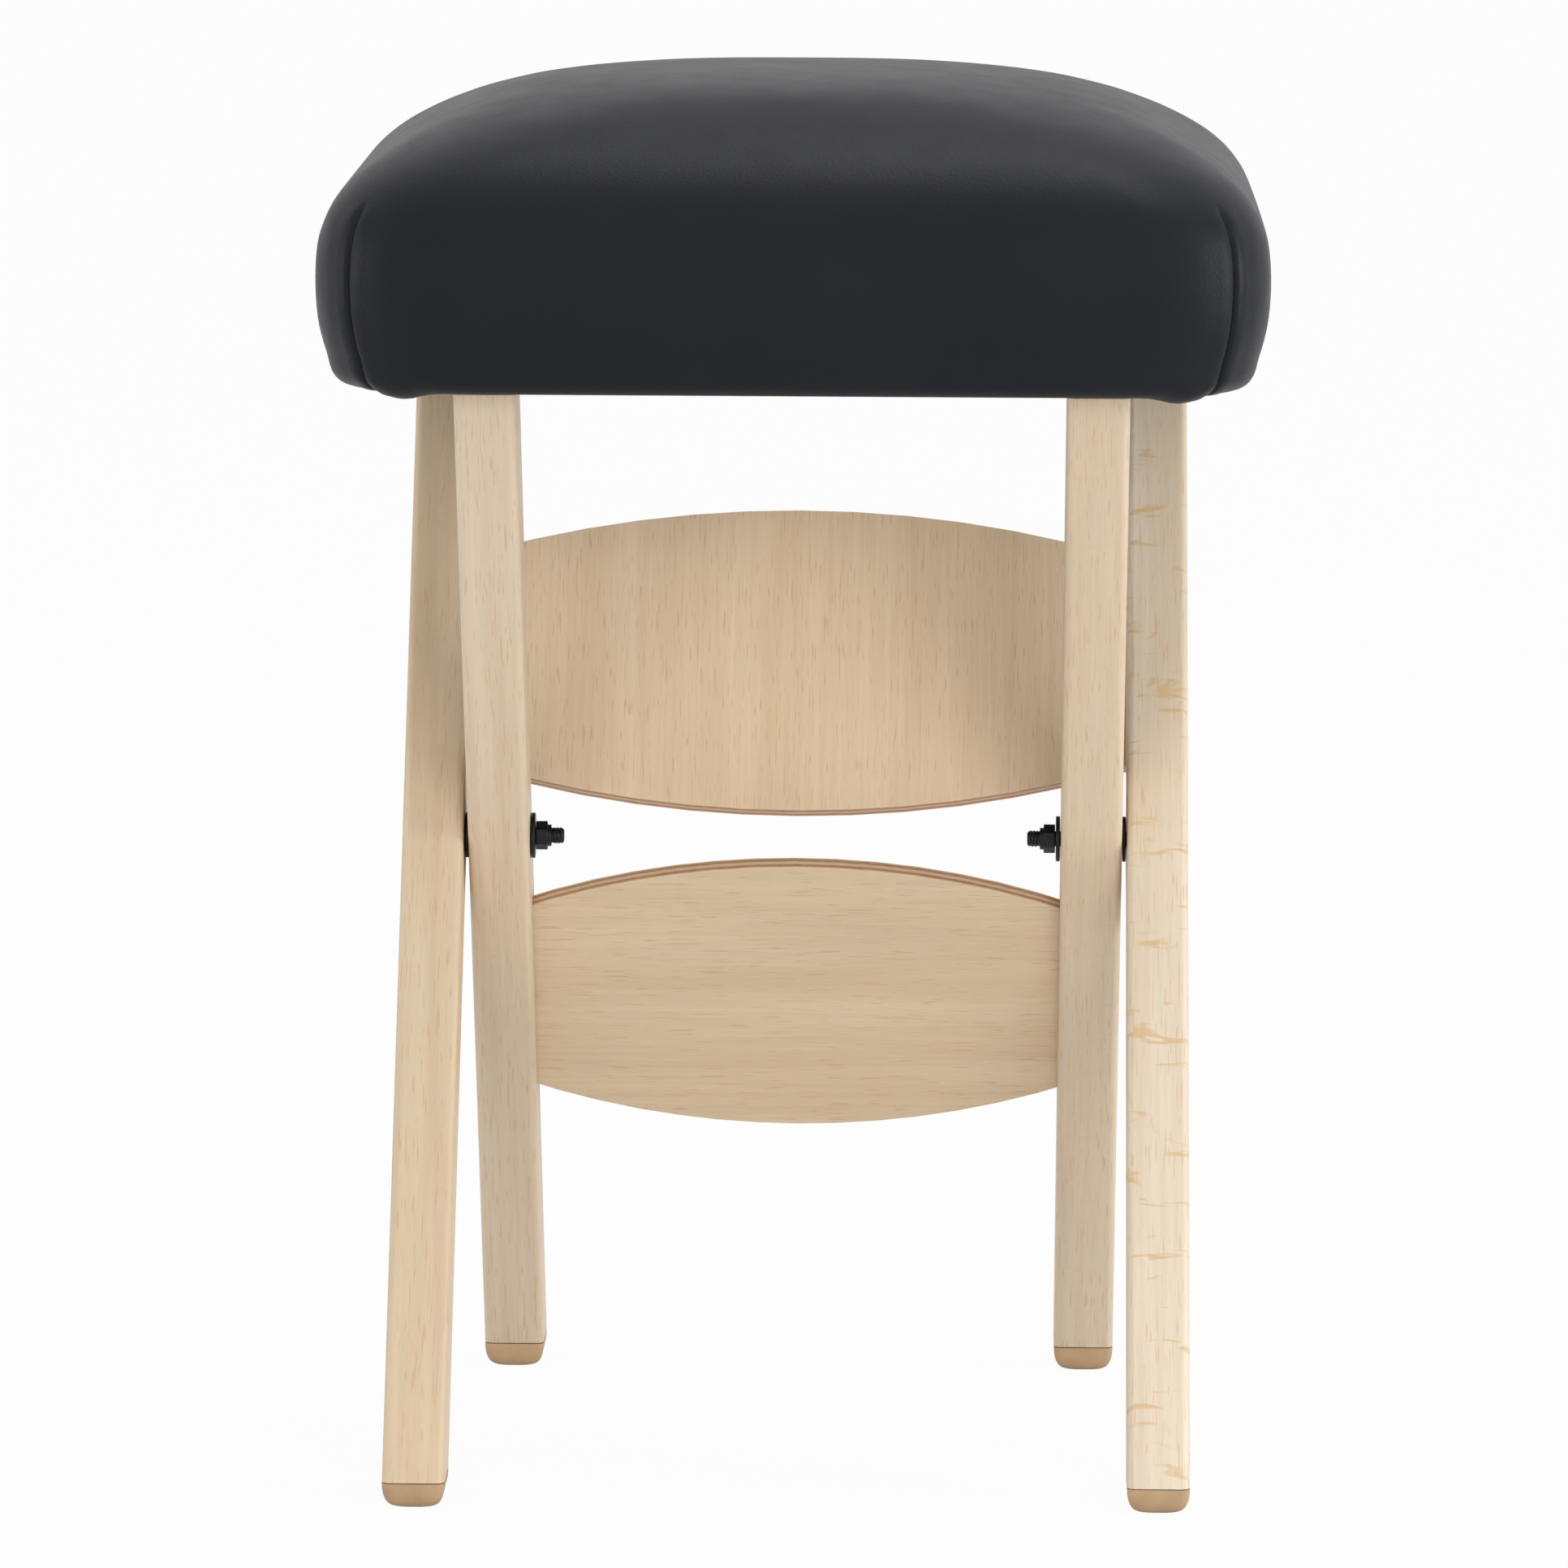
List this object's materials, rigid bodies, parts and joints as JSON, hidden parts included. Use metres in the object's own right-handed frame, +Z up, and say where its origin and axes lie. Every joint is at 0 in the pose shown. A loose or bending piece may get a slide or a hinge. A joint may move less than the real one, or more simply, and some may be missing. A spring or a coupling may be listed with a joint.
{
  "type": "folding stool",
  "caption": "Folding stool with a thick domed leather pad on crossed wooden legs that turn on bolts, two bowed plywood panels and rubber feet.",
  "frame": {"origin": "on the floor under the middle of the seat", "axes": "+Z up, front of the stool at -Y, +X to the right as seen from the front"},
  "size_m": [0.37, 0.35, 0.5418],
  "materials": {
    "beech": "clear satin lacquer",
    "plywood": "clear satin lacquer over beech-faced plywood",
    "leather": "fine-grained black leathercloth with a soft sheen",
    "foam": "open-cell foam, hidden",
    "board": "raw plywood, hidden",
    "cambric": "thin black lining cloth",
    "rubber": "matt tan rubber",
    "black_steel": "black oxide",
    "zinc_steel": "zinc plated"
  },
  "bodies": {
    "outer_frame": {"front_foot_left": "rubber", "front_foot_right": "rubber", "front_foot_screw_left": "zinc_steel", "front_foot_screw_right": "zinc_steel", "hinge_leg_leaf_left": "zinc_steel", "hinge_leg_leaf_right": "zinc_steel", "hinge_pin_left": "zinc_steel", "hinge_pin_right": "zinc_steel", "leg_leaf_screw_left_inner": "zinc_steel", "leg_leaf_screw_left_outer": "zinc_steel", "leg_leaf_screw_right_inner": "zinc_steel", "leg_leaf_screw_right_outer": "zinc_steel", "outer_leg_left": "beech", "outer_leg_right": "beech", "panel_screw_left_lower": "zinc_steel", "panel_screw_left_upper": "zinc_steel", "panel_screw_right_lower": "zinc_steel", "panel_screw_right_upper": "zinc_steel", "pivot_bolt_left": "black_steel", "pivot_bolt_right": "black_steel", "pivot_nut_left": "black_steel", "pivot_nut_right": "black_steel", "pivot_washer_left": "black_steel", "pivot_washer_right": "black_steel", "spacer_washer_left": "black_steel", "spacer_washer_right": "black_steel", "upper_panel": "plywood"},
    "inner_frame": {"inner_leg_left": "beech", "inner_leg_right": "beech", "locating_pin_left": "zinc_steel", "locating_pin_right": "zinc_steel", "lower_panel": "plywood", "rear_foot_left": "rubber", "rear_foot_right": "rubber", "rear_foot_screw_left": "zinc_steel", "rear_foot_screw_right": "zinc_steel"},
    "seat": {"dust_cover": "cambric", "hinge_seat_leaf_left": "zinc_steel", "hinge_seat_leaf_right": "zinc_steel", "seat_board": "board", "seat_cover": "leather", "seat_foam": "foam", "seat_leaf_screw_left_inner": "zinc_steel", "seat_leaf_screw_left_outer": "zinc_steel", "seat_leaf_screw_right_inner": "zinc_steel", "seat_leaf_screw_right_outer": "zinc_steel", "socket_plate_left": "zinc_steel", "socket_plate_right": "zinc_steel", "socket_screw_left_inner": "zinc_steel", "socket_screw_left_outer": "zinc_steel", "socket_screw_right_inner": "zinc_steel", "socket_screw_right_outer": "zinc_steel"}
  },
  "joints": [
    {"name": "leg_fold", "type": "hinge", "parent": "outer_frame", "child": "inner_frame", "pos_m": [0, 0, 0.2376], "axis": [-1, 0, 0], "range_deg": [0, 62]},
    {"name": "seat_lift", "type": "hinge", "parent": "outer_frame", "child": "seat", "pos_m": [0, 0.14004, 0.4241], "axis": [-1, 0, 0], "range_deg": [0, 121]}
  ],
  "couplings": [
    {"joint": "seat_lift", "follows": "leg_fold", "ratio": 1.95}
  ]
}
